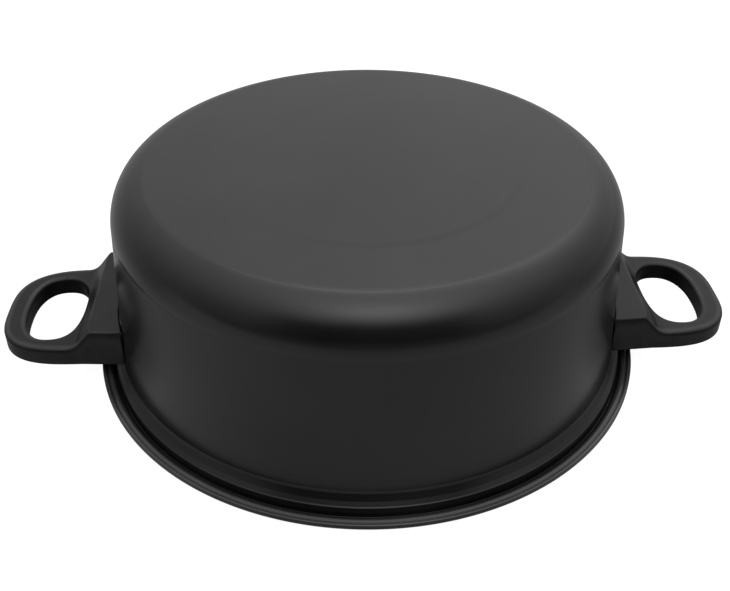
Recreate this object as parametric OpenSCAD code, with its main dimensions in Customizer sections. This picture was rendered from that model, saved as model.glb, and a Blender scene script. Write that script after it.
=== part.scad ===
// Round dutch oven without its lid, standing upside down on its rim.
// The rim plane is z = 0, the outer face of the base points up (+Z).
// The two side handles stand out along -X (left) and +X (right).

/* [Pot casting] */
// Outer radius of the rim
rim_r = 145; // [120:1:175]
// Height from the rim plane to the outer face of the base
pot_h = 108.2; // [86:0.2:132]
// Overhang of the rim beyond the wall behind it
rim_overhang = 12; // [10:0.5:15]
// Thickness of the side wall
wall_t = 4.5; // [3.5:0.1:5.5]
// Thickness of the base
base_t = 6; // [4:0.5:8]
// Lean of the side wall, degrees
wall_draft = 3.35; // [2:0.05:5]
// Outer radius of the corner between wall and base
corner_r = 22.3; // [17:0.1:27]
// Amount by which the flat of the base is cut below the crest of the corner
base_flat_cut = 0.4; // [0.2:0.05:0.8]
// Depth of the thin groove round the flat of the base
groove_d = 0.35; // [0.2:0.05:0.6]
// Width of the thin groove round the flat of the base
groove_w = 0.8; // [0.5:0.1:1.4]

/* [Rim] */
// Height of the collar under the wall, where the concave fillet ends
collar_h = 9.1; // [8:0.1:11]
// Height of the rounded lip at the outside of the rim
lip_h = 3.9; // [3:0.1:4.5]
// Radial width of the lip
lip_w = 6.9; // [5.5:0.1:8]
// Depth of the ledge inside the rim that carries the lid
seat_d = 5; // [3.5:0.25:6]
// Radial width of the ledge that carries the lid
seat_w = 5.4; // [4:0.1:6.5]

/* [Handle lugs] */
// Distance the lug stands out from the wall
lug_out = 6.6; // [5.5:0.1:8]
// Height of the lug
lug_h = 16.2; // [14:0.2:17]
// Distance from the handle centre line to each screw
screw_y = 17; // [14:0.1:20.4]
// Metal left between each screw axis and the end of the lug
lug_end = 7.5; // [6:0.5:8.5]

/* [Handles] */
// Distance the loop stands out beyond the rim
loop_reach = 49.6; // [42:0.2:60]
// Half width of the loop
loop_half_w = 37; // [33:0.2:42]
// Extra half width where the handle meets the wall
root_flare = 2.3; // [1:0.1:3.5]
// Height of the underside of the handle above the rim plane
loop_z = 12.2; // [11.6:0.1:14]
// Thickness of the loop
loop_t = 10.2; // [9.6:0.1:13]
// Height of the mounting block above the underside of the handle
block_h = 21.2; // [18.6:0.1:24]
// Distance from the rim to the outer edge of the block's top face
block_top_out = 0.2; // [0:0.1:2.8]
// Slope of the outer face of the block, degrees
block_slope = 75; // [68:1:82]
// Slope of the shoulders where the block runs down into the arms, degrees
shoulder_slope = 49; // [42:1:56]
// Concave radius at the foot of the shoulders
shoulder_r = 11; // [8:0.5:13]
// Distance the shoulders start inside the outer edge of the block
shoulder_in = 1.4; // [1:0.1:5.5]
// Half length of the finger hole across the handle
hole_half_w = 26.8; // [24:0.2:28]
// Length of the finger hole away from the pot
hole_len = 30.7; // [28:0.1:34]
// Distance from the rim to the near end of the finger hole
hole_start = 7.5; // [7:0.1:8.5]
// Gap between the handle and the wall of the pot
wall_gap = 0.6; // [0.4:0.1:1.8]
// Clearance between the lug and the pocket in the handle
pocket_gap = 0.5; // [0.3:0.1:0.8]

/* [Screws] */
// Diameter of the screw shank
shank_d = 4; // [3.5:0.5:4.5]
// Diameter of the screw head
head_d = 7; // [6.5:0.1:7.3]
// Height of the screw head
head_h = 4; // [3.5:0.1:4.4]
// Width across flats of the hexagon socket
socket_af = 3; // [2.5:0.5:3.5]
// Depth of the hexagon socket
socket_d = 2; // [1.5:0.1:2.4]
// Length of the screw under its head
screw_len = 16; // [14:0.5:17]
// Thickness of the washer
washer_t = 0.8; // [0.6:0.1:1]
// Diameter of the washer
washer_d = 7.6; // [7.4:0.1:8]
// Thickness of the handle clamped under each washer
clamp_t = 7; // [6:0.25:8]

/* [Hidden] */
fine = 180;
small = 48;
outline_steps = 40;
arc_steps = 14;
// wall radius at the foot of the wall, next to the rim
foot_r = rim_r - rim_overhang;
// height where the straight wall ends and the collar fillet begins
foot_z = collar_h + 5.4;
// centre height of the base corner
corner_z = pot_h + base_flat_cut - corner_r;
// outer wall radius at a given height
function wall_r(z) = foot_r - (z - foot_z) * tan(wall_draft);
// centre of the outer and the inner base corner
corner_c = wall_r(corner_z) - corner_r;
inner_corner_r = corner_r - wall_t;
inner_corner_z = pot_h - base_t - inner_corner_r;
inner_corner_c = wall_r(inner_corner_z) - wall_t - inner_corner_r;
// radius of the flat of the base
flat_r = corner_c + sqrt(corner_r * corner_r - (corner_r - base_flat_cut) * (corner_r - base_flat_cut));
// points of an arc in the profile plane, from angle a to angle b
function arc(cx, cy, r, a, b) =
  [for (i = [0 : arc_steps]) let (t = a + (b - a) * i / arc_steps) [cx + r * cos(t), cy + r * sin(t)]];
// radii of the collar and the lip
collar_r = foot_r + 2.6;
collar_step_r = collar_r + 1.4;
collar_step_z = collar_h - 1.7;
lip_in_r = rim_r - lip_w;
lip_valley_z = lip_h * 0.5;
bead_r = lip_h * 0.41;
bead_z = lip_h - bead_r + 0.2;
under_bead_z = bead_z - bead_r;
// lid ledge
seat_in_r = wall_r(seat_d) - wall_t;
seat_r = seat_in_r + seat_w;
// lug and screws
lug_z = loop_z + 0.4;
screw_z = loop_z + loop_t * 0.51;
lug_face = wall_r(screw_z) + lug_out;
lug_half_w = screw_y + lug_end;
tap_clear = 0.1;
tap_end = lug_face - (screw_len - clamp_t - washer_t) - 1;
// handle
block_face = rim_r + block_top_out;
block_top = loop_z + block_h;
loop_top = loop_z + loop_t;
loop_end = rim_r + loop_reach;
loop_c = rim_r + 5;
root_x = foot_r * 0.85;
root_half_w = loop_half_w + root_flare;
hole_c = rim_r + hole_start + hole_len / 2;
block_half_w = loop_half_w - 0.3;
block_round = 7;
// shoulders
shoulder_x = block_face - shoulder_in;
shoulder_foot = shoulder_x + (block_top - loop_top) / tan(shoulder_slope);
shoulder_tan = shoulder_r * tan(shoulder_slope / 2);
// seats of the washers
seat_x = lug_face + clamp_t;
counter_d = washer_d + 0.4;
pass_d = shank_d + 0.5;
// how square the outlines of the loop and of its finger hole are; 2 is an ellipse
loop_power = 3;
hole_power = 2.4;
// half extents of a rounded outline between an ellipse and a box, at angle t
function round_x(a, p, t) = a * sign(cos(t)) * pow(abs(cos(t)), 2 / p);
function round_y(b, p, t) = b * sign(sin(t)) * pow(abs(sin(t)), 2 / p);

// outer and inner profile of the casting, turned round the pot axis
module pot_profile() {
  polygon(concat(
    [[0, pot_h]],
    [[flat_r - groove_w, pot_h], [flat_r - groove_w / 2, pot_h - groove_d]],
    arc(corner_c, corner_z, corner_r, acos((flat_r - corner_c) / corner_r), -wall_draft),
    [[foot_r, foot_z], [foot_r + 0.35, foot_z - 2.4], [foot_r + 1.1, foot_z - 4.2]],
    [[collar_r, collar_h], [collar_step_r, collar_step_z], [collar_step_r + 0.6, collar_step_z - 0.4]],
    [[lip_in_r, lip_valley_z], [lip_in_r + 1.2, lip_h * 0.78], [lip_in_r + 2.9, lip_h]],
    [[rim_r - 2.1, lip_h - 0.6]],
    arc(rim_r - bead_r, bead_z, bead_r, 100, -90),
    [[rim_r - 3, under_bead_z], [rim_r - 3.6, 0], [seat_r + 0.6, 0]],
    [[seat_r, 0.6], [seat_r, seat_d], [seat_in_r, seat_d]],
    arc(inner_corner_c, inner_corner_z, inner_corner_r, -wall_draft, 90),
    [[0, pot_h - base_t]]
  ));
}

// cast lug behind one handle, pointing along +X
module lug() {
  difference() {
    translate([foot_r - wall_t, -lug_half_w, lug_z])
      cube([lug_face - foot_r + wall_t, 2 * lug_half_w, lug_h]);
    translate([0, 0, lug_z - 1]) cylinder(h = lug_h + 2, r = wall_r(lug_z) - wall_t / 2, $fn = fine);
  }
}

// tapped holes of one lug
module taps() {
  for (s = [-1, 1]) {
    translate([tap_end, s * screw_y, screw_z])
      rotate([0, 90, 0]) cylinder(h = lug_face - tap_end + 1, d = shank_d + 2 * tap_clear, $fn = small);
  }
}

module pot_body() {
  color([0.13, 0.13, 0.135])
  difference() {
    union() {
      rotate_extrude($fn = fine) pot_profile();
      lug();
      rotate([0, 0, 180]) lug();
    }
    taps();
    rotate([0, 0, 180]) taps();
  }
}

// plan outline of the whole handle
module handle_outline() {
  polygon(concat(
    [[root_x, -root_half_w]],
    [for (i = [0 : outline_steps]) let (t = -90 + 180 * i / outline_steps)
      [loop_c + round_x(loop_end - loop_c, loop_power, t), round_y(loop_half_w, loop_power, t)]],
    [[root_x, root_half_w]]
  ));
}

// plan outline of the finger hole
module hole_outline() {
  polygon([for (i = [0 : 2 * outline_steps - 1]) let (t = 180 * i / outline_steps)
    [hole_c + round_x(hole_len / 2, hole_power, t), round_y(hole_half_w, hole_power, t)]]);
}

// side profile of the mounting block, x along the handle, y upwards
module block_profile() {
  polygon([
    [root_x, loop_z],
    [block_face + block_h / tan(block_slope), loop_z],
    [block_face, block_top],
    [root_x, block_top]
  ]);
}

// side profile of the shoulders that run from the block into the arms
module shoulder_profile() {
  polygon(concat(
    [[root_x, loop_z], [shoulder_foot + shoulder_tan, loop_z]],
    arc(shoulder_foot + shoulder_tan, loop_top + shoulder_r, shoulder_r, -90, -90 - shoulder_slope),
    [[shoulder_x, block_top], [root_x, block_top]]
  ));
}

// turns a side profile into a prism across the handle
module across(half) {
  translate([0, half, 0]) rotate([90, 0, 0]) linear_extrude(height = 2 * half) children();
}

// plan outline of the block with its two outer corners cut off
module block_outline() {
  polygon([
    [root_x, -root_half_w],
    [shoulder_x, -block_half_w],
    [block_face + 1, -block_half_w + block_round],
    [loop_end, -block_half_w + block_round],
    [loop_end, block_half_w - block_round],
    [block_face + 1, block_half_w - block_round],
    [shoulder_x, block_half_w],
    [root_x, root_half_w]
  ]);
}

// one handle pointing along +X
module handle() {
  difference() {
    union() {
      translate([0, 0, loop_z]) linear_extrude(height = loop_t) handle_outline();
      intersection() {
        across(root_half_w + 5) block_profile();
        translate([0, 0, loop_z - 1]) linear_extrude(height = block_h + 2) block_outline();
      }
      intersection() {
        across(root_half_w + 5) shoulder_profile();
        translate([0, 0, loop_z - 1]) linear_extrude(height = block_h + 2) handle_outline();
      }
    }
    translate([0, 0, loop_z - 1]) linear_extrude(height = block_h + 3) hole_outline();
    translate([0, 0, loop_z - 1])
      cylinder(h = block_h + 2, $fn = fine,
        r1 = wall_r(loop_z - 1) + wall_gap, r2 = wall_r(block_top + 1) + wall_gap);
    translate([root_x, -lug_half_w - pocket_gap, loop_z - 1])
      cube([lug_face - root_x, 2 * (lug_half_w + pocket_gap), lug_z + lug_h + pocket_gap - loop_z + 1]);
    for (s = [-1, 1]) {
      translate([root_x, s * screw_y, screw_z])
        rotate([0, 90, 0]) cylinder(h = seat_x - root_x + 1, d = pass_d, $fn = small);
      translate([seat_x, s * screw_y, screw_z])
        rotate([0, 90, 0]) cylinder(h = hole_c - seat_x, d = counter_d, $fn = small);
    }
  }
}

module handle_left() {
  color([0.11, 0.11, 0.11])
  rotate([0, 0, 180]) handle();
}

module handle_right() {
  color([0.11, 0.11, 0.11])
  handle();
}

// one socket head screw, its shank pointing along -X
module screw(side) {
  translate([seat_x + washer_t, side * screw_y, screw_z]) rotate([0, 90, 0])
  difference() {
    union() {
      cylinder(h = head_h, d = head_d, $fn = small);
      translate([0, 0, -screw_len]) cylinder(h = screw_len + 0.5, d = shank_d, $fn = small);
    }
    translate([0, 0, head_h - socket_d]) cylinder(h = socket_d + 1, d = socket_af / cos(30), $fn = 6);
  }
}

// one plain washer between screw head and handle
module washer(side) {
  translate([seat_x, side * screw_y, screw_z]) rotate([0, 90, 0])
  difference() {
    cylinder(h = washer_t, d = washer_d, $fn = small);
    translate([0, 0, -1]) cylinder(h = washer_t + 2, d = pass_d, $fn = small);
  }
}

module screw_left_front() {
  color([0.72, 0.72, 0.74])
  rotate([0, 0, 180]) screw(1);
}

module screw_left_back() {
  color([0.72, 0.72, 0.74])
  rotate([0, 0, 180]) screw(-1);
}

module screw_right_front() {
  color([0.72, 0.72, 0.74])
  screw(-1);
}

module screw_right_back() {
  color([0.72, 0.72, 0.74])
  screw(1);
}

module washer_left_front() {
  color([0.66, 0.66, 0.68])
  rotate([0, 0, 180]) washer(1);
}

module washer_left_back() {
  color([0.66, 0.66, 0.68])
  rotate([0, 0, 180]) washer(-1);
}

module washer_right_front() {
  color([0.66, 0.66, 0.68])
  washer(-1);
}

module washer_right_back() {
  color([0.66, 0.66, 0.68])
  washer(1);
}

pot_body();
handle_left();
handle_right();
screw_left_front();
screw_left_back();
screw_right_front();
screw_right_back();
washer_left_front();
washer_left_back();
washer_right_front();
washer_right_back();
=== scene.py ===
import math

import bmesh
import bpy
from mathutils import Matrix, Vector


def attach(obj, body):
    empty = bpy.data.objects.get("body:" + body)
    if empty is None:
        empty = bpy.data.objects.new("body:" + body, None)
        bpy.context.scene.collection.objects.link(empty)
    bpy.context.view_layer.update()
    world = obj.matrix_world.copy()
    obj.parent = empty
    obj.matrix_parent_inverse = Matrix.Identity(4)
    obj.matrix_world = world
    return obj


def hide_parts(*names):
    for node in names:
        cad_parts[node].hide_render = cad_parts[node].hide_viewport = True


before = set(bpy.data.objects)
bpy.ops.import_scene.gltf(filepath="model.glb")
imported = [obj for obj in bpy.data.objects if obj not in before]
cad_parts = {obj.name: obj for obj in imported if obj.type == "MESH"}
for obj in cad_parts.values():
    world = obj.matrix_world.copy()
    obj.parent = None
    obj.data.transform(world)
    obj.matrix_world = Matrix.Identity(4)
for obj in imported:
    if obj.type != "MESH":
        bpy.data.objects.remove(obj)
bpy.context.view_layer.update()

# ---------------------------------------------------------------- sizes, in millimetres
MM = 0.001
RIM_R = 145.0
POT_H = 108.2
FOOT_R = 133.0
FOOT_Z = 14.5
WALL_LEAN = math.radians(3.35)
DRAFT = math.tan(WALL_LEAN)
WALL_T = 4.5
BASE_T = 6.0
CORNER_R = 22.3
CORNER_RISE = 0.4
DISH_R = 75.0
DISH_END_R = 79.0
DISH_DEPTH = 0.14
SEAT_D = 5.0
SEAT_R = 134.45
COLLAR_R = 135.3
COLLAR_Z = 9.1
COLLAR_STEP_R = 136.9
COLLAR_STEP_Z = 7.4
LIP_Z = 3.9
CREST_Z = (3.1, 4.0)
CREST_R = (138.6, 139.8)

LOOP_Z = 12.2
LOOP_T = 10.2
BLOCK_H = 21.2
LOOP_TOP = LOOP_Z + LOOP_T
BLOCK_TOP = LOOP_Z + BLOCK_H
LOOP_END = 194.6
LOOP_C = 150.0
LOOP_HALF_W = 37.0
ROOT_X = 113.05
ROOT_SPREAD = 1.3
ROOT_WALL_X = 128.3
ROOT_FLARE = 2.3
BLOCK_SLOPE = 75.0
SHOULDER_SLOPE = 49.0
SHOULDER_R = 11.0
SHOULDER_IN = 1.4
TIP_START = 168.0
TIP_DROP = 1.3
BLOCK_FACE = 145.2
HOLE_C = 167.85
HOLE_A = 15.35
HOLE_B = 26.8
HOLE_POWER = 2.4
LOOP_POWER = 3.0
WALL_GAP = 0.35
SCREW_Y = 17.0
LUG_Z = LOOP_Z + 0.4
LUG_H = 16.2
SCREW_Z = LOOP_Z + LOOP_T * 0.51
LUG_OUT = 6.6
LUG_INNER_X = 129.5


def wall_r(z):
    """Outer radius of the pot wall at height z."""
    return FOOT_R - (z - FOOT_Z) * DRAFT


LUG_FACE = wall_r(SCREW_Z) + LUG_OUT
LUG_HALF_W = SCREW_Y + 7.5
SEAT_X = LUG_FACE + 7.0
WASHER_T = 0.8
WASHER_R = 3.8
SHANK_R = 2.0
SHANK_LEN = 16.0
SHANK_HOLE_R = 2.25
HEAD_R = 3.5
HEAD_H = 4.0
SOCKET_R = 1.5
FAR = 1e9


# ---------------------------------------------------------------- small helpers for node trees
class Nodes:
    """Adds nodes to a tree in short lines."""

    def __init__(self, tree):
        self.tree = tree

    def add(self, kind, inputs=None, **settings):
        node = self.tree.nodes.new(kind)
        for key, value in settings.items():
            setattr(node, key, value)
        for key, value in (inputs or {}).items():
            self.put(node, key, value)
        return node

    def put(self, node, key, value):
        socket = node.inputs[key]
        if isinstance(value, bpy.types.NodeSocket):
            self.tree.links.new(value, socket)
        elif isinstance(value, bpy.types.Node):
            self.tree.links.new(value.outputs[0], socket)
        else:
            socket.default_value = value

    def math(self, how, a, b=0.0, c=0.0, clamp=False):
        node = self.add("ShaderNodeMath", operation=how, use_clamp=clamp)
        for key, value in ((0, a), (1, b), (2, c)):
            if key < len(node.inputs):
                self.put(node, key, value)
        return node.outputs[0]

    def vector(self, how, a, b=(0.0, 0.0, 0.0)):
        node = self.add("ShaderNodeVectorMath", operation=how)
        self.put(node, 0, a)
        if node.inputs[1].enabled:
            self.put(node, 1, b)
        return node

    def remap(self, value, low, high, to_low=0.0, to_high=1.0, smooth=False):
        node = self.add("ShaderNodeMapRange", interpolation_type="SMOOTHSTEP" if smooth else "LINEAR")
        limits = {"From Min": low, "From Max": high, "To Min": to_low, "To Max": to_high}
        for key, item in {"Value": value, **limits}.items():
            self.put(node, key, item)
        return node.outputs[0]

    def mix_colour(self, factor, a, b):
        node = self.add("ShaderNodeMix", data_type="RGBA")
        self.put(node, 0, factor)
        self.put(node, 6, a)
        self.put(node, 7, b)
        return node.outputs[2]


def new_socket(tree, name, way, kind, default=None, low=None, high=None):
    socket = tree.interface.new_socket(name=name, in_out=way, socket_type=kind)
    if default is not None:
        socket.default_value = default
    if low is not None:
        socket.min_value = low
    if high is not None:
        socket.max_value = high
    return socket


def rounded(corners, steps=6, edge=0.35):
    """Profile through corners (radius, height, rounding), with support points beside each rounding."""
    out = []
    count = len(corners)
    for i, (x, z, r) in enumerate(corners):
        here = Vector((x, z))
        if i in (0, count - 1) or r <= 0.0:
            out.append(here)
            continue
        before = Vector(corners[i - 1][:2]) - here
        after = Vector(corners[i + 1][:2]) - here
        turn = math.pi - before.angle(after)
        reach = min(r * math.tan(turn / 2), before.length * 0.48, after.length * 0.48)
        r = reach / math.tan(turn / 2)
        start = here + before.normalized() * reach
        end = here + after.normalized() * reach
        middle = here + (before.normalized() + after.normalized()).normalized() * (r / math.cos(turn / 2))
        a = start - middle
        side = 1.0 if a.x * (end - middle).y - a.y * (end - middle).x > 0 else -1.0
        for k in range(steps + 1):
            t = side * turn * k / steps
            across = a.x * math.cos(t) - a.y * math.sin(t)
            along = a.x * math.sin(t) + a.y * math.cos(t)
            out.append(middle + Vector((across, along)))
    dense = [out[0]]
    for p, q in zip(out, out[1:]):
        gap = (q - p).length
        if gap > 4 * edge:
            for share in (edge / gap, 0.5, 1 - edge / gap):
                dense.append(p.lerp(q, share))
        if gap > 1e-4:
            dense.append(q)
    return [(p.x, p.y) for p in dense]


# ---------------------------------------------------------------- shader groups
def coating_group():
    """Fine grain of a sprayed or moulded skin: height for a bump, a roughness and a shade that vary."""
    tree = bpy.data.node_groups.new("skin_grain", "ShaderNodeTree")
    new_socket(tree, "Grain Size", "INPUT", "NodeSocketFloat", 0.6, 0.01, 50.0)
    new_socket(tree, "Cloud Size", "INPUT", "NodeSocketFloat", 30.0, 0.1, 500.0)
    new_socket(tree, "Roughness", "INPUT", "NodeSocketFloat", 0.3, 0.0, 1.0)
    new_socket(tree, "Roughness Spread", "INPUT", "NodeSocketFloat", 0.05, 0.0, 1.0)
    new_socket(tree, "Height", "OUTPUT", "NodeSocketFloat")
    new_socket(tree, "Roughness", "OUTPUT", "NodeSocketFloat")
    new_socket(tree, "Shade", "OUTPUT", "NodeSocketFloat")
    n = Nodes(tree)
    given = n.add("NodeGroupInput")
    result = n.add("NodeGroupOutput")
    place = n.add("ShaderNodeTexCoord").outputs["Object"]
    per_m = n.math("DIVIDE", 1000.0, given.outputs["Grain Size"])
    cloud_per_m = n.math("DIVIDE", 1000.0, given.outputs["Cloud Size"])
    fine = n.add("ShaderNodeTexNoise", {"Vector": place, "Scale": per_m, "Detail": 3.0, "Roughness": 0.6})
    cloud = {"Vector": place, "Scale": cloud_per_m, "Detail": 4.0, "Roughness": 0.55}
    broad = n.add("ShaderNodeTexNoise", cloud)
    pit_scale = n.math("MULTIPLY", per_m, 0.45)
    pits = n.add("ShaderNodeTexVoronoi", {"Vector": place, "Scale": pit_scale}, feature="F1")
    dimple = n.remap(pits.outputs["Distance"], 0.0, 0.45, 0.0, 1.0, smooth=True)
    height = n.math("ADD", n.math("MULTIPLY", fine.outputs[0], 0.6), n.math("MULTIPLY", dimple, 0.4))
    mixed = n.math("ADD", n.math("MULTIPLY", broad.outputs[0], 0.7), n.math("MULTIPLY", fine.outputs[0], 0.3))
    shift = n.math("SUBTRACT", mixed, 0.5)
    spread = n.math("MULTIPLY", given.outputs["Roughness Spread"], 2.0)
    rough = n.math("MULTIPLY_ADD", shift, spread, given.outputs["Roughness"], clamp=True)
    n.put(result, "Height", height)
    n.put(result, "Roughness", rough)
    n.put(result, "Shade", n.remap(broad.outputs[0], 0.3, 0.7))
    return tree


def wear_group():
    """Faint rubbed marks in two crossing directions, as a mask."""
    tree = bpy.data.node_groups.new("rub_marks", "ShaderNodeTree")
    new_socket(tree, "Mark Length", "INPUT", "NodeSocketFloat", 18.0, 0.1, 500.0)
    new_socket(tree, "Mark Width", "INPUT", "NodeSocketFloat", 0.5, 0.01, 50.0)
    new_socket(tree, "Amount", "INPUT", "NodeSocketFloat", 0.3, 0.0, 1.0)
    new_socket(tree, "Mask", "OUTPUT", "NodeSocketFloat")
    n = Nodes(tree)
    given = n.add("NodeGroupInput")
    result = n.add("NodeGroupOutput")
    place = n.add("ShaderNodeTexCoord").outputs["Object"]
    along = n.math("DIVIDE", 1000.0, given.outputs["Mark Length"])
    across = n.math("DIVIDE", 1000.0, given.outputs["Mark Width"])
    masks = []
    for turn in (0.6, -0.9):
        turned = n.add("ShaderNodeVectorRotate", {"Vector": place, "Angle": turn}, rotation_type="Z_AXIS")
        scale = n.add("ShaderNodeCombineXYZ", {"X": along, "Y": across, "Z": along})
        stretched = n.vector("MULTIPLY", turned.outputs[0], scale.outputs[0]).outputs[0]
        noise = n.add("ShaderNodeTexNoise", {"Vector": stretched, "Scale": 1.0, "Detail": 2.0})
        masks.append(n.remap(noise.outputs[0], 0.62, 0.74, smooth=True))
    both = n.math("MAXIMUM", masks[0], masks[1])
    n.put(result, "Mask", n.math("MULTIPLY", both, given.outputs["Amount"], clamp=True))
    return tree


SKIN = coating_group()
RUBS = wear_group()


def finish_material(name, build, specular_ior=1.45):
    """Material with one Principled BSDF; build() wires its changing sockets."""
    material = bpy.data.materials.new(name)
    material.use_nodes = True
    tree = material.node_tree
    tree.nodes.clear()
    n = Nodes(tree)
    shader = n.add("ShaderNodeBsdfPrincipled")
    out = n.add("ShaderNodeOutputMaterial")
    tree.links.new(shader.outputs[0], out.inputs["Surface"])
    shader.inputs["IOR"].default_value = specular_ior
    build(n, shader)
    return material


def group_node(n, tree, **values):
    node = n.add("ShaderNodeGroup", node_tree=tree)
    for key, value in values.items():
        n.put(node, key.replace("_", " "), value)
    return node


def black_coating(n, shader):
    """Satin black coating on the casting, with a painted highlight: a little greyer along the top of the rim
    bead.
    """
    skin = group_node(n, SKIN, Grain_Size=0.55, Cloud_Size=70.0, Roughness=0.24, Roughness_Spread=0.05)
    rubs = group_node(n, RUBS, Mark_Length=26.0, Mark_Width=0.45, Amount=0.35)
    colour = n.mix_colour(skin.outputs["Shade"], (0.0020, 0.0020, 0.0021, 1), (0.0050, 0.0050, 0.0051, 1))
    place = n.add("ShaderNodeSeparateXYZ", {"Vector": n.add("ShaderNodeTexCoord").outputs["Object"]})
    square = n.math("ADD", n.math("POWER", place.outputs["X"], 2.0), n.math("POWER", place.outputs["Y"], 2.0))
    out = n.math("SQRT", square)
    # painted highlight: the colour is mixed towards a lighter grey on the outer bead of the rim, above
    # CREST_Z and outside CREST_R
    raised = n.remap(place.outputs["Z"], CREST_Z[0] * MM, CREST_Z[1] * MM, smooth=True)
    rim_highlight = n.math("MULTIPLY", raised, n.remap(out, CREST_R[0] * MM, CREST_R[1] * MM, smooth=True))
    rim_highlight = n.math("MULTIPLY", rim_highlight, n.remap(skin.outputs["Shade"], 0.0, 1.0, 0.6, 1.0))
    n.put(shader, "Base Color", n.mix_colour(rim_highlight, colour, (0.028, 0.028, 0.029, 1)))
    n.put(shader, "Roughness", n.math("MULTIPLY_ADD", rubs.outputs[0], 0.05, skin.outputs["Roughness"]))
    bump = n.add("ShaderNodeBump", {"Strength": 0.06, "Distance": 0.00003, "Height": skin.outputs["Height"]})
    n.put(shader, "Normal", bump.outputs[0])


def moulded_phenolic(n, shader):
    """Matt black phenolic with a fine moulded grain, and painted light: a lighter grey on the marked edges,
    creases and sides.
    """
    skin = group_node(n, SKIN, Grain_Size=0.8, Cloud_Size=9.0, Roughness=0.29, Roughness_Spread=0.06)
    rubs = group_node(n, RUBS, Mark_Length=9.0, Mark_Width=0.6, Amount=0.4)
    colour = n.mix_colour(skin.outputs["Shade"], (0.0040, 0.0040, 0.0042, 1), (0.0065, 0.0065, 0.0067, 1))
    # painted highlight and painted light: the attribute lightens the colour on rounded edges, convex creases
    # and the outer sides of the loop
    edge = n.add("ShaderNodeAttribute", attribute_name="painted_light").outputs["Fac"]
    painted_sheen = n.math("MULTIPLY", edge, n.remap(skin.outputs["Shade"], 0.0, 1.0, 0.55, 1.0))
    n.put(shader, "Base Color", n.mix_colour(painted_sheen, colour, (0.030, 0.030, 0.0295, 1)))
    n.put(shader, "Roughness", n.math("MULTIPLY_ADD", rubs.outputs[0], 0.08, skin.outputs["Roughness"]))
    bump = n.add("ShaderNodeBump", {"Strength": 0.25, "Distance": 0.00006, "Height": skin.outputs["Height"]})
    n.put(shader, "Normal", bump.outputs[0])


def stainless(n, shader):
    """Plain stainless steel of the screws and washers."""
    skin = group_node(n, SKIN, Grain_Size=0.25, Cloud_Size=3.0, Roughness=0.26, Roughness_Spread=0.1)
    colour = n.mix_colour(skin.outputs["Shade"], (0.52, 0.52, 0.53, 1), (0.66, 0.655, 0.65, 1))
    n.put(shader, "Base Color", colour)
    shader.inputs["Metallic"].default_value = 1.0
    n.put(shader, "Roughness", skin.outputs["Roughness"])
    bump = n.add("ShaderNodeBump", {"Strength": 0.1, "Distance": 0.00002, "Height": skin.outputs["Height"]})
    n.put(shader, "Normal", bump.outputs[0])


COATING = finish_material("black_satin_coating", black_coating, 1.31)
PHENOLIC = finish_material("black_moulded_phenolic", moulded_phenolic, 1.19)
STEEL = finish_material("stainless_steel", stainless)


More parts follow.
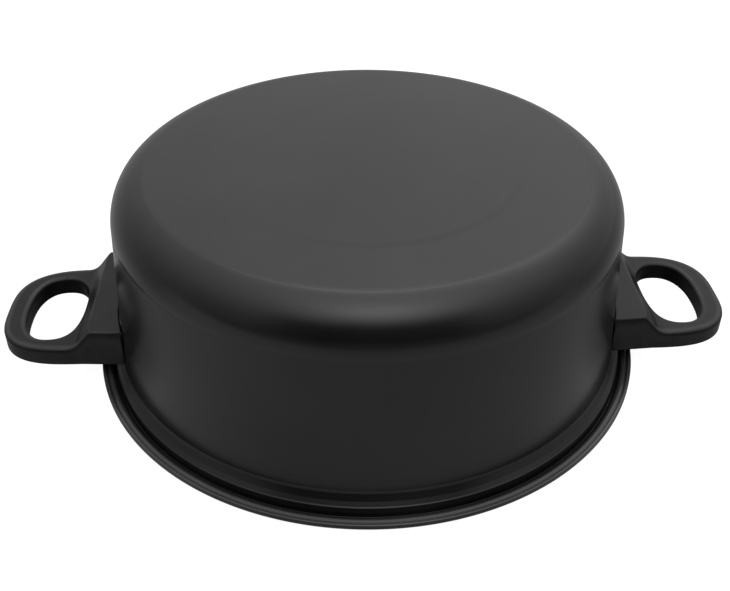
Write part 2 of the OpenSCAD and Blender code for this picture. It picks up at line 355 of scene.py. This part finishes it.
# ---------------------------------------------------------------- turned pieces
def turned_tree():
    """Turns a profile of points (x = radius, z = height) about the vertical axis."""
    tree = bpy.data.node_groups.new("turned_piece", "GeometryNodeTree")
    new_socket(tree, "Profile", "INPUT", "NodeSocketGeometry")
    new_socket(tree, "Steps Around", "INPUT", "NodeSocketInt", 96, 8, 1024)
    new_socket(tree, "Knurl Count", "INPUT", "NodeSocketInt", 36, 0, 200)
    new_socket(tree, "Knurl Depth", "INPUT", "NodeSocketFloat", 0.0, 0.0, 0.01)
    new_socket(tree, "Turn", "INPUT", "NodeSocketRotation")
    new_socket(tree, "Place", "INPUT", "NodeSocketVector", (0.0, 0.0, 0.0))
    new_socket(tree, "Finish", "INPUT", "NodeSocketMaterial")
    new_socket(tree, "Piece", "OUTPUT", "NodeSocketGeometry")
    n = Nodes(tree)
    given = n.add("NodeGroupInput")
    result = n.add("NodeGroupOutput")
    size = n.add("GeometryNodeAttributeDomainSize", {"Geometry": given.outputs["Profile"]}, component="MESH")
    points = size.outputs["Point Count"]
    steps = given.outputs["Steps Around"]
    sheet = n.add("GeometryNodeMeshGrid", {"Vertices X": n.math("ADD", steps, 1.0), "Vertices Y": points})
    index = n.add("GeometryNodeInputIndex").outputs[0]
    row = n.math("FLOOR", n.math("DIVIDE", n.math("ADD", index, 0.5), points))
    spot = n.math("SUBTRACT", index, n.math("MULTIPLY", row, points))
    angle = n.math("MULTIPLY", n.math("DIVIDE", row, steps), math.tau)
    at_spot = {"Geometry": given.outputs["Profile"], "Index": spot}
    where = n.add("GeometryNodeSampleIndex", at_spot, data_type="FLOAT_VECTOR", domain="POINT")
    n.put(where, "Value", n.add("GeometryNodeInputPosition").outputs[0])
    shape = {}
    for name in ("flats", "knurl"):
        read = n.add("GeometryNodeInputNamedAttribute", {"Name": name}, data_type="FLOAT")
        look = n.add("GeometryNodeSampleIndex", at_spot, data_type="FLOAT", domain="POINT")
        n.put(look, "Value", read.outputs[0])
        shape[name] = look.outputs[0]
    parts = n.add("ShaderNodeSeparateXYZ", {"Vector": where.outputs[0]})
    fold = n.math("SUBTRACT", n.math("MODULO", angle, math.pi / 3), math.pi / 6)
    hexagon = n.math("SUBTRACT", n.math("DIVIDE", 1.0, n.math("COSINE", fold)), 1.0)
    radius = n.math("MULTIPLY", parts.outputs["X"], n.math("MULTIPLY_ADD", hexagon, shape["flats"], 1.0))
    ridges = n.math("COSINE", n.math("MULTIPLY", angle, given.outputs["Knurl Count"]))
    wave = n.math("MULTIPLY_ADD", ridges, -0.5, 0.5)
    cut = n.math("MULTIPLY", n.math("MULTIPLY", wave, given.outputs["Knurl Depth"]), shape["knurl"])
    radius = n.math("SUBTRACT", radius, cut)
    east = n.math("MULTIPLY", radius, n.math("COSINE", angle))
    north = n.math("MULTIPLY", radius, n.math("SINE", angle))
    spun = n.add("ShaderNodeCombineXYZ", {"X": east, "Y": north, "Z": parts.outputs["Z"]})
    moved = n.add("GeometryNodeSetPosition", {"Geometry": sheet.outputs["Mesh"], "Position": spun.outputs[0]})
    joined = n.add("GeometryNodeMergeByDistance", {"Geometry": moved.outputs[0], "Distance": 0.000002})
    smooth = n.add("GeometryNodeSetShadeSmooth", {"Geometry": joined.outputs[0]})
    pose = {"Rotation": given.outputs["Turn"], "Translation": given.outputs["Place"]}
    placed = n.add("GeometryNodeTransform", {"Geometry": smooth.outputs[0], **pose})
    real = n.add("GeometryNodeRealizeInstances", {"Geometry": placed.outputs[0]})
    finish = {"Geometry": real.outputs[0], "Material": given.outputs["Finish"]}
    done = n.add("GeometryNodeSetMaterial", finish)
    n.put(result, "Piece", done.outputs[0])
    return tree


TURNED = turned_tree()


def profile_object(name, points, flats=(), knurl=()):
    """Mesh of loose points and edges that holds a profile, in metres."""
    mesh = bpy.data.meshes.new(name)
    spots = [(x * MM, 0.0, z * MM) for x, z in points]
    mesh.from_pydata(spots, [(i, i + 1) for i in range(len(points) - 1)], [])
    for label, marked in (("flats", flats), ("knurl", knurl)):
        layer = mesh.attributes.new(label, "FLOAT", "POINT")
        for i in range(len(points)):
            layer.data[i].value = 1.0 if i in marked else 0.0
    thing = bpy.data.objects.new(name, mesh)
    bpy.context.scene.collection.objects.link(thing)
    return thing


def baked(thing, tree, values):
    """Runs a geometry tree on an object and keeps the result as its plain mesh."""
    modifier = thing.modifiers.new("shape", "NODES")
    modifier.node_group = tree
    names = {item.name: item.identifier for item in tree.interface.items_tree if item.in_out == "INPUT"}
    for key, value in values.items():
        modifier[names[key]] = value
    bpy.context.view_layer.update()
    ready = thing.evaluated_get(bpy.context.evaluated_depsgraph_get())
    mesh = bpy.data.meshes.new_from_object(ready)
    mesh.name = thing.name
    thing.modifiers.clear()
    thing.data = mesh
    return thing


def outward(mesh, sharp=math.radians(38)):
    """Closes seams, turns the faces outwards and marks sharp edges."""
    work = bmesh.new()
    work.from_mesh(mesh)
    bmesh.ops.remove_doubles(work, verts=work.verts, dist=1e-6)
    bmesh.ops.recalc_face_normals(work, faces=work.faces)
    for face in work.faces:
        face.smooth = True
    for line in work.edges:
        line.smooth = not (len(line.link_faces) == 2 and line.calc_face_angle(0.0) > sharp)
    work.to_mesh(mesh)
    work.free()


# ---------------------------------------------------------------- the pot casting
def pot_profile():
    """Half section of the casting: base, corner, wall, collar, rim bead, lid ledge and inside."""
    corner_z = POT_H + CORNER_RISE - CORNER_R
    corner_c = wall_r(corner_z) - CORNER_R
    flat_r = corner_c + math.sqrt(CORNER_R ** 2 - (CORNER_R - CORNER_RISE) ** 2)
    outside = rounded([
        (0.0, POT_H - DISH_DEPTH, 0), (DISH_R, POT_H - DISH_DEPTH, 12), (DISH_END_R, POT_H, 12),
        (flat_r - 0.8, POT_H, 0.25), (flat_r - 0.4, POT_H - 0.1, 0.15), (flat_r, POT_H, 0),
    ], 5, 0.5)[:-1]
    start = math.acos((flat_r - corner_c) / CORNER_R)
    end = -WALL_LEAN
    steps = 40
    turns = [start + (end - start) * i / steps for i in range(steps + 1)]
    bend = [(corner_c + CORNER_R * math.cos(t), corner_z + CORNER_R * math.sin(t)) for t in turns]
    rim = rounded([
        (wall_r(corner_z - 1.0), corner_z - 1.0, 0), (wall_r(12.4), 12.4, 4.2),
        (COLLAR_R, COLLAR_Z + 0.05, 0.9), (COLLAR_STEP_R, COLLAR_STEP_Z, 0.3), (137.4, 7.0, 0.35),
        (138.1, 1.8, 0.15), (139.4, 3.2, 1.2), (141.2, LIP_Z, 1.2), (142.9, 3.3, 0.25), (143.3, 4.1, 0.3),
        (RIM_R, 4.1, 1.5), (RIM_R, 0.9, 1.55), (142.1, 0.9, 0.2), (141.4, 0.0, 0.3),
        (135.0, 0.0, 0.5), (SEAT_R, 0.6, 0.4), (SEAT_R, SEAT_D, 0.6), (129.05, SEAT_D, 0.7),
    ], 6, 0.35)[1:]
    inner_r = CORNER_R - WALL_T
    inner_z = POT_H - BASE_T - inner_r
    inner_c = wall_r(inner_z) - WALL_T - inner_r
    rim.append((wall_r(SEAT_D + 1.5) - WALL_T, SEAT_D + 1.5))
    rim.append((wall_r(SEAT_D + 3) - WALL_T, SEAT_D + 3))
    turns = [end + (math.pi / 2 - end) * i / 24 for i in range(25)]
    inside = [(inner_c + inner_r * math.cos(t), inner_z + inner_r * math.sin(t)) for t in turns]
    inside += [(inner_c - 1.5, POT_H - BASE_T), (40.0, POT_H - BASE_T), (0.0, POT_H - BASE_T)]
    return outside + bend + rim + inside


def add_lug(work, side):
    """Cast lug behind a handle: a block with softened edges, its inner face inside the wall."""
    made = bmesh.ops.create_cube(work, size=1.0)["verts"]
    low = Vector((LUG_INNER_X, -LUG_HALF_W, LUG_Z)) * MM
    high = Vector((LUG_FACE, LUG_HALF_W, LUG_Z + LUG_H)) * MM
    for v in made:
        v.co = Vector(low[k] + (v.co[k] + 0.5) * (high[k] - low[k]) for k in range(3))
        if side < 0:
            v.co.x, v.co.y = -v.co.x, -v.co.y
    lines = {e for v in made for e in v.link_edges}
    bmesh.ops.bevel(work, geom=list(lines), offset=0.9 * MM, segments=3, affect="EDGES", profile=0.5)


def make_pot():
    pot = profile_object("pot_casting", pot_profile())
    baked(pot, TURNED, {"Steps Around": 320, "Finish": COATING})
    work = bmesh.new()
    work.from_mesh(pot.data)
    for side in (1, -1):
        add_lug(work, side)
    work.to_mesh(pot.data)
    work.free()
    outward(pot.data)
    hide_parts("pot_body")
    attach(pot, "root")
    return pot


# ---------------------------------------------------------------- the handles
def soft_max(a, b, k):
    """Larger of two heights, blended over a distance k."""
    h = max(k - abs(a - b), 0.0) / k
    return max(a, b) + h * h * k * 0.25


def soft_min(a, b, k):
    return -soft_max(-a, -b, k)


def handle_top(x, y):
    """Height of the upper surface of a handle at a point of its plan."""
    loop_top = LOOP_TOP - TIP_DROP * min(max((x - TIP_START) / (LOOP_END - TIP_START), 0.0), 1.0) ** 2
    foot = BLOCK_FACE - SHOULDER_IN
    slope = math.radians(SHOULDER_SLOPE)
    shoulder = BLOCK_TOP - (x - foot) * math.tan(slope)
    knee = foot + (BLOCK_TOP - LOOP_TOP) / math.tan(slope) + SHOULDER_R * math.tan(slope / 2)
    if x > knee - SHOULDER_R * math.sin(slope):
        shoulder = LOOP_TOP + SHOULDER_R - math.sqrt(max(SHOULDER_R ** 2 - max(knee - x, 0.0) ** 2, 0.0))
    corner = (x - BLOCK_FACE - 1.0) * 0.946 + (abs(y) - LOOP_HALF_W + 7.3) * 0.324
    past = soft_max(x - BLOCK_FACE, corner, 2.0)
    block = BLOCK_TOP - past * math.tan(math.radians(BLOCK_SLOPE))
    rise = soft_max(block, shoulder, 1.2)
    return soft_max(soft_min(rise, BLOCK_TOP, 1.3), loop_top, 0.8)


def ray_to_rounded(angle, centre, a, b, p):
    """Distance from the hole centre along a ray to a rounded outline about another centre."""
    dx, dy = math.cos(angle), math.sin(angle)
    low, high = 0.0, 120.0
    for _ in range(40):
        mid = (low + high) / 2
        x, y = HOLE_C + dx * mid - centre, dy * mid
        if abs(x / a) ** p + abs(y / b) ** p < 1:
            low = mid
        else:
            high = mid
    return low


def outer_reach(angle, z):
    """Distance from the hole centre along a ray to the outside of the handle at height z."""
    dx, dy = math.cos(angle), math.sin(angle)
    reach = ray_to_rounded(angle, LOOP_C, LOOP_END - LOOP_C, LOOP_HALF_W, LOOP_POWER)
    x = HOLE_C + dx * reach
    if x > LOOP_C:
        return reach
    lean = ROOT_FLARE / (LOOP_C - ROOT_X)
    spread = abs(dy) + dx * lean
    side = (LOOP_HALF_W + (LOOP_C - HOLE_C) * lean) / spread if spread > 1e-6 else FAR
    r = wall_r(z) + WALL_GAP
    half = HOLE_C * dx
    under = half * half - HOLE_C ** 2 + r * r
    wall = -half - math.sqrt(under) if half < 0 and under > 0 else FAR
    return min(side, wall)


def make_handle(name, side):
    """Loop handle with its mounting block, built as sections that stand round the finger hole."""
    rays = 512
    top_steps = 50
    drop, foot_round = 1.9, 0.8
    arc = 8
    root = math.atan2(LOOP_HALF_W + ROOT_SPREAD, ROOT_WALL_X - HOLE_C)
    angles = [math.tau * i / rays for i in range(rays)]
    for want in (root, math.tau - root):
        near = min(range(rays), key=lambda i: abs(angles[i] - want))
        angles[near] = want
    rings, painted_light = [], []
    for t in angles:
        dx, dy = math.cos(t), math.sin(t)
        hole = ray_to_rounded(t, HOLE_C, HOLE_A, HOLE_B, HOLE_POWER)
        on_wall = root < t < math.tau - root

        def at(reach, z=None, drop=0.0):
            x, y = HOLE_C + dx * reach, dy * reach
            return (x, y, handle_top(x, y) - drop if z is None else z)

        def slant(reach_of):
            e = 1e-3
            a, b = reach_of(t - e), reach_of(t + e)
            pa = Vector((math.cos(t - e) * a, math.sin(t - e) * a))
            pb = Vector((math.cos(t + e) * b, math.sin(t + e) * b))
            line = (pb - pa).normalized()
            return max(abs(line.x * dy - line.y * dx), 0.35)

        edge_z = at(outer_reach(t, BLOCK_TOP if on_wall else LOOP_TOP))[2]
        outer_hi = outer_reach(t, edge_z)
        outer_lo = outer_reach(t, LOOP_Z)
        s_out = slant(lambda q: outer_reach(q, edge_z))
        s_in = slant(lambda q: ray_to_rounded(q, HOLE_C, HOLE_A, HOLE_B, HOLE_POWER))
        out_drop = 0.8 if on_wall else drop
        near_block = min(max((HOLE_C + dx * outer_hi - BLOCK_FACE) / 9.0, 0.0), 1.0)
        out_wide = 0.8 if on_wall else 1.3 + 2.7 * near_block
        in_wide = 1.4 + 2.0 * min(max(dx * 1.2 + 0.7, 0.0), 1.0)
        # painted highlights: the marks gathered here lighten the colour along the rounded hole edge, the
        # outer top edge and the convex creases of the top
        ring, painted_marks = [], []
        # rounded upper edge of the hole, from the wall of the hole to the top
        for k in range(arc + 1):
            f = math.pi / 2 * k / arc
            ring.append(at(hole + in_wide * (1 - math.cos(f)) / s_in, None, drop * (1 - math.sin(f))))
            painted_marks.append(0.7 * max(0.0, 1 - abs(k / arc - 0.66) / 0.34))
        a, b = hole + in_wide / s_in, outer_hi - out_wide / s_out
        trial = [at(a + (b - a) * k / 160) for k in range(161)]
        walk = [0.0]
        for p, q in zip(trial, trial[1:]):
            walk.append(walk[-1] + math.dist(p, q))
        spot = 0
        for k in range(1, top_steps):
            want_walk = walk[-1] * k / top_steps
            while walk[spot + 1] < want_walk:
                spot += 1
            share = (want_walk - walk[spot]) / (walk[spot + 1] - walk[spot])
            ring.append(at(a + (b - a) * (spot + share) / 160))
            painted_marks.append(0.0)
        for k in range(arc + 1):
            f = math.pi / 2 * k / arc
            ring.append(at(b + out_wide * math.sin(f) / s_out, None, out_drop * (1 - math.cos(f))))
            painted_marks.append(0.0 if on_wall else max(0.0, 1 - abs(k / arc - 0.36) / 0.36))
        # painted highlight along the convex creases of the top
        for k in range(arc + 2, arc + top_steps - 1):
            before, here, after = (Vector(ring[k + d]) for d in (-1, 0, 1))
            rise = math.degrees((here - before).angle(after - here, 0.0))
            if (here - before).normalized().z > (after - here).normalized().z:
                painted_marks[k] = min(rise / 9.0, 1.0) * 0.8
        # down the outside, round the lower edge and back under the handle
        top_z = ring[-1][2]
        for k in range(1, 7):
            z = top_z + (LOOP_Z + foot_round - top_z) * k / 6
            ring.append(at(outer_reach(t, z), z))
        for k in range(1, arc + 1):
            f = math.pi / 2 * k / arc
            inset = foot_round * (1 - math.cos(f)) / s_out
            ring.append(at(outer_lo - inset, LOOP_Z + foot_round * (1 - math.sin(f))))
        a, b = outer_lo - foot_round / s_out, hole + foot_round / s_in
        for k in range(1, 8):
            ring.append(at(a + (b - a) * k / 8, LOOP_Z))
        for k in range(arc + 1):
            f = math.pi / 2 * k / arc
            ring.append(at(b - foot_round * math.sin(f) / s_in, LOOP_Z + foot_round * (1 - math.cos(f))))
        low_z, high_z = ring[-1][2], ring[0][2]
        for k in range(1, 6):
            ring.append(at(hole, low_z + (high_z - low_z) * k / 6))
        rings.append(ring)
        # painted light: the sides of the loop are painted a little greyer than its top
        painted_marks += [0.0 if on_wall else 0.6] * 6
        painted_light.extend(painted_marks + [0.0] * (len(ring) - len(painted_marks)))
    count = len(rings[0])
    verts = [Vector(p) * MM for ring in rings for p in ring]
    faces = []
    for i in range(rays):
        j = (i + 1) % rays
        for k in range(count):
            m = (k + 1) % count
            faces.append((i * count + k, j * count + k, j * count + m, i * count + m))
    mesh = bpy.data.meshes.new(name)
    mesh.from_pydata(verts, [], faces)
    mesh.materials.append(PHENOLIC)
    layer = mesh.attributes.new("painted_light", "FLOAT", "POINT")
    layer.data.foreach_set("value", painted_light)
    if side < 0:
        mesh.transform(Matrix.Rotation(math.pi, 4, "Z"))
    handle = bpy.data.objects.new(name, mesh)
    bpy.context.scene.collection.objects.link(handle)
    outward(mesh)
    cut_pocket_and_bores(handle, side)
    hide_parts("handle_left" if side < 0 else "handle_right")
    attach(handle, "root")
    return handle


def cut_pocket_and_bores(handle, side):
    """Cuts the lug pocket, the screw holes and their counterbores out of a handle."""
    work = bmesh.new()
    turn = Matrix.Rotation(0.0 if side > 0 else math.pi, 4, "Z")
    made = bmesh.ops.create_cube(work, size=1.0)["verts"]
    low = Vector((110, -LUG_HALF_W - 0.5, LOOP_Z - 3))
    high = Vector((LUG_FACE, LUG_HALF_W + 0.5, LUG_Z + LUG_H + 0.5))
    for v in made:
        v.co = Vector(low[k] + (v.co[k] + 0.5) * (high[k] - low[k]) for k in range(3)) * MM
    for y in (-SCREW_Y, SCREW_Y):
        for r, a, b in ((SHANK_HOLE_R, LUG_FACE - 2, SEAT_X + 1), (WASHER_R + 0.2, SEAT_X, HOLE_C - 4)):
            middle = Vector(((a + b) / 2, y, SCREW_Z)) * MM
            lie = Matrix.Translation(middle) @ Matrix.Rotation(math.pi / 2, 4, "Y")
            size = {"radius1": r * MM, "radius2": r * MM, "depth": (b - a) * MM}
            bmesh.ops.create_cone(work, cap_ends=True, segments=64, matrix=lie, **size)
    bmesh.ops.transform(work, matrix=turn, verts=work.verts)
    mesh = bpy.data.meshes.new("handle_cutter")
    work.to_mesh(mesh)
    work.free()
    cutter = bpy.data.objects.new("handle_cutter", mesh)
    bpy.context.scene.collection.objects.link(cutter)
    modifier = handle.modifiers.new("cut", "BOOLEAN")
    modifier.operation = "DIFFERENCE"
    modifier.solver = "EXACT"
    modifier.use_self = True
    modifier.object = cutter
    bpy.context.view_layer.update()
    ready = handle.evaluated_get(bpy.context.evaluated_depsgraph_get())
    cut = bpy.data.meshes.new_from_object(ready)
    handle.modifiers.clear()
    old = handle.data
    handle.data = cut
    bpy.data.meshes.remove(old)
    bpy.data.objects.remove(cutter)
    bpy.data.meshes.remove(mesh)
    outward(cut)


# ---------------------------------------------------------------- screws and washers
def screw_profile():
    """Socket head screw, head up, the bearing face of the head at height 0."""
    mouth = SOCKET_R + 0.22
    socket = rounded([
        (0.0, 1.6, 0), (SOCKET_R, 2.0, 0), (SOCKET_R, HEAD_H - 0.25, 0.0), (mouth, HEAD_H, 0.1),
    ], 3, 0.2)[:-1]
    head = rounded([
        (mouth, HEAD_H, 0), (HEAD_R - 0.4, HEAD_H, 0.5), (HEAD_R, 3.55, 0.2), (HEAD_R, 0.1, 0.1),
        (3.3, 0.0, 0.08), (SHANK_R, 0.0, 0.1), (SHANK_R, 0.8 - SHANK_LEN, 0.1),
        (SHANK_R - 0.6, -SHANK_LEN, 0.1), (0.0, -SHANK_LEN, 0),
    ], 4, 0.2)
    return socket, head


def make_screw(name, node, x_side, y):
    """Handle screw with a hexagon socket and a knurled head, its head towards the finger hole."""
    socket, head = screw_profile()
    points = socket + head
    flats = {i for i in range(1, len(socket))}
    knurl = {i for i, (r, z) in enumerate(points) if r > HEAD_R - 0.06 and 0.2 < z < HEAD_H - 0.5}
    screw = profile_object(name, points, flats, knurl)
    turn = (0.0, math.pi / 2 * x_side, 0.0)
    place = (x_side * (SEAT_X + WASHER_T) * MM, y * MM, SCREW_Z * MM)
    grip = {"Steps Around": 144, "Knurl Count": 36, "Knurl Depth": 0.12 * MM}
    baked(screw, TURNED, {**grip, "Turn": turn, "Place": place, "Finish": STEEL})
    outward(screw.data)
    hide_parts(node)
    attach(screw, "root")


def make_washer(name, node, x_side, y):
    """Plain washer on the floor of the counterbore."""
    inner = SHANK_HOLE_R
    points = rounded([
        (inner, WASHER_T / 2, 0), (inner, WASHER_T, 0.1), (WASHER_R, WASHER_T, 0.2),
        (WASHER_R, 0.0, 0.1), (inner, 0.0, 0.1), (inner, WASHER_T / 2, 0),
    ], 4, 0.1)
    washer = profile_object(name, points)
    turn = (0.0, math.pi / 2 * x_side, 0.0)
    place = (x_side * SEAT_X * MM, y * MM, SCREW_Z * MM)
    baked(washer, TURNED, {"Steps Around": 96, "Turn": turn, "Place": place, "Finish": STEEL})
    outward(washer.data)
    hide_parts(node)
    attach(washer, "root")


# ---------------------------------------------------------------- studio
def make_floor():
    """Pale floor: it looks white, and throws light up as a floor with the pot's own shade on it does."""
    mesh = bpy.data.meshes.new("studio_floor")
    half = 6.0
    corners = [(-half, -half, 0), (half, -half, 0), (half, half, 0), (-half, half, 0)]
    mesh.from_pydata(corners, [], [(0, 1, 2, 3)])
    floor = bpy.data.objects.new("studio_floor", mesh)
    bpy.context.scene.collection.objects.link(floor)
    floor.location.z = -0.0002
    material = bpy.data.materials.new("pale_floor")
    material.use_nodes = True
    n = Nodes(material.node_tree)
    material.node_tree.nodes.clear()
    shader = n.add("ShaderNodeBsdfPrincipled")
    out = n.add("ShaderNodeOutputMaterial")
    # seen from below, the floor is clear, so that it doesn't hide the underside
    blend = n.add("ShaderNodeMixShader", {0: n.add("ShaderNodeNewGeometry").outputs["Backfacing"]})
    n.put(blend, 1, shader.outputs[0])
    n.put(blend, 2, n.add("ShaderNodeBsdfTransparent").outputs[0])
    material.node_tree.links.new(blend.outputs[0], out.inputs["Surface"])
    shader.inputs["Base Color"].default_value = (0.1, 0.1, 0.1, 1)
    shader.inputs["Roughness"].default_value = 1.0
    shader.inputs["Specular IOR Level"].default_value = 0.0
    shader.inputs["Emission Color"].default_value = (1, 1, 1, 1)
    place = n.add("ShaderNodeSeparateXYZ", {"Vector": n.add("ShaderNodeTexCoord").outputs["Object"]})
    y = place.outputs["Y"]
    # the light that the floor throws up: dim under and behind the pot, brighter in front, gone far in front
    lit = n.remap(y, -0.03, -0.20, 0.27, 0.79)
    lit = n.math("MULTIPLY", lit, n.remap(y, -0.33, -0.58, 1.0, 0.06, smooth=True))
    lit = n.math("MULTIPLY", lit, n.remap(place.outputs["X"], -0.25, 0.35, 0.93, 0.72))
    # and shaded under each handle
    x = n.math("ABSOLUTE", place.outputs["X"])
    along = n.math("POWER", n.math("DIVIDE", n.math("SUBTRACT", x, 0.163), 0.046), 2.0)
    across = n.math("POWER", n.math("DIVIDE", y, 0.052), 2.0)
    lit = n.math("MULTIPLY", lit, n.remap(n.math("ADD", along, across), 0.3, 2.2, 0.1, 1.0, smooth=True))
    seen = n.add("ShaderNodeLightPath").outputs["Is Camera Ray"]
    n.put(shader, "Emission Strength", n.remap(seen, 0.0, 1.0, lit, 0.96))
    mesh.materials.append(material)


def make_world():
    """Soft studio surround: pale walls and ceiling, a dark gap behind the viewer."""
    world = bpy.data.worlds.new("studio")
    bpy.context.scene.world = world
    world.use_nodes = True
    tree = world.node_tree
    tree.nodes.clear()
    n = Nodes(tree)
    way = n.add("ShaderNodeTexCoord").outputs["Generated"]
    parts = n.add("ShaderNodeSeparateXYZ", {"Vector": way})
    up = parts.outputs["Z"]

    def facing(azimuth, elevation):
        a, e = math.radians(azimuth), math.radians(elevation)
        axis = (math.sin(a) * math.cos(e), -math.cos(a) * math.cos(e), math.sin(e))
        return n.vector("DOT_PRODUCT", way, axis).outputs["Value"]

    def glow(azimuth, elevation, tight, strength):
        past = n.math("SUBTRACT", facing(azimuth, elevation), 1.0)
        fall = n.math("EXPONENT", n.math("MULTIPLY", past, tight))
        return n.math("MULTIPLY", fall, strength)

    above = n.math("MAXIMUM", up, 0.0)
    light = n.math("MULTIPLY_ADD", n.math("MULTIPLY", above, above), 2.4, 0.62)
    light = n.math("MULTIPLY", light, n.remap(parts.outputs["X"], -0.7, 0.5, 0.84, 1.06, smooth=True))
    # soft lamps: azimuth from the front, elevation, tightness, strength
    for lamp in ((0, 90, 22, 0.7), (6, 67, 28, 3.4), (180, 54, 60, 3.4), (150, 47, 30, 1.5)):
        light = n.math("ADD", light, glow(*lamp))
    ahead = n.math("MULTIPLY", parts.outputs["Y"], -1.0)
    level = n.math("SQRT", n.math("SUBTRACT", 1.0001, n.math("MULTIPLY", up, up)))
    front = n.math("DIVIDE", ahead, level)
    aside = n.remap(front, 0.60, 0.90, 1.0, 0.0, smooth=True)
    over = n.remap(up, 0.50, 0.79, 0.0, 1.0, smooth=True)
    gap = n.remap(n.math("MAXIMUM", aside, over), 0.0, 1.0, 0.06, 1.0)
    light = n.math("MULTIPLY", light, gap)
    seen = n.add("ShaderNodeLightPath").outputs["Is Camera Ray"]
    light = n.math("ADD", n.math("MULTIPLY", light, n.math("SUBTRACT", 1.0, seen)), seen)
    back = n.add("ShaderNodeBackground", {"Strength": light})
    back.inputs["Color"].default_value = (1, 1, 1, 1)
    out = n.add("ShaderNodeOutputWorld")
    tree.links.new(back.outputs[0], out.inputs["Surface"])


def make_camera():
    """Camera above the front, a little to the left of the handle axis's square."""
    unit = RIM_R * MM
    turn = math.radians(3.0)
    lift = math.radians(38.16)
    far = 3.876
    aim_right = -0.0019
    aim_up = 0.0359
    roll = math.radians(0.28)
    flat = far * math.cos(lift)
    eye = Vector((-flat * math.sin(turn), -flat * math.cos(turn), far * math.sin(lift))) * unit
    ahead = (-eye).normalized()
    right = ahead.cross(Vector((0, 0, 1))).normalized()
    up = right.cross(ahead).normalized()
    ahead = (ahead + right * aim_right + up * aim_up).normalized()
    right = ahead.cross(up).normalized()
    up = right.cross(ahead).normalized()
    right, up = right * math.cos(roll) + up * math.sin(roll), up * math.cos(roll) - right * math.sin(roll)
    data = bpy.data.cameras.new("camera")
    data.sensor_width = 36.0
    data.lens = 49.18
    data.clip_start = 0.01
    data.clip_end = 50.0
    camera = bpy.data.objects.new("camera", data)
    bpy.context.scene.collection.objects.link(camera)
    m = Matrix((right, up, -ahead)).transposed().to_4x4()
    m.translation = eye
    camera.matrix_world = m
    bpy.context.scene.camera = camera


make_pot()
make_handle("loop_handle_left", -1)
make_handle("loop_handle_right", 1)
for label, side in (("left", -1), ("right", 1)):
    for where, y in (("front", -SCREW_Y), ("back", SCREW_Y)):
        make_screw("cap_screw_%s_%s" % (label, where), "screw_%s_%s" % (label, where), side, y)
        make_washer("plain_washer_%s_%s" % (label, where), "washer_%s_%s" % (label, where), side, y)
make_floor()
make_world()
make_camera()
bpy.context.scene.view_settings.view_transform = "Standard"
